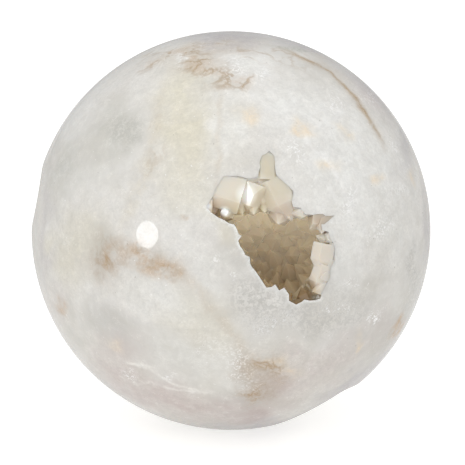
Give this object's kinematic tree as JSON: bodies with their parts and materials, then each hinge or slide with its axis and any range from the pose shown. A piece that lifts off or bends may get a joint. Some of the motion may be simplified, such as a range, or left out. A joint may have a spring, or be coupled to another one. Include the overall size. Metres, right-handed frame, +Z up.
{
  "type": "quartz geode sphere",
  "caption": "Polished ball of white and cream quartz with a star-shaped hollow in its face that is lined with tan crystals, resting on a small ground flat.",
  "frame": {"origin": "centre of the small ground flat under the ball, on the surface that it rests on", "axes": "+Z up, out of the flat through the ball's centre; the hollow faces -Y, a little above the horizon; +X to the right as the hollow is looked into"},
  "size_m": [0.11, 0.11, 0.1095],
  "materials": {
    "polished_quartz": "polished milky quartz with cream, grey and brown clouding",
    "quartz_crystal": "glassy tan quartz crystals"
  },
  "bodies": {
    "root": {"stone_sphere": "polished_quartz", "crystal_crust": "quartz_crystal"}
  },
  "joints": []
}
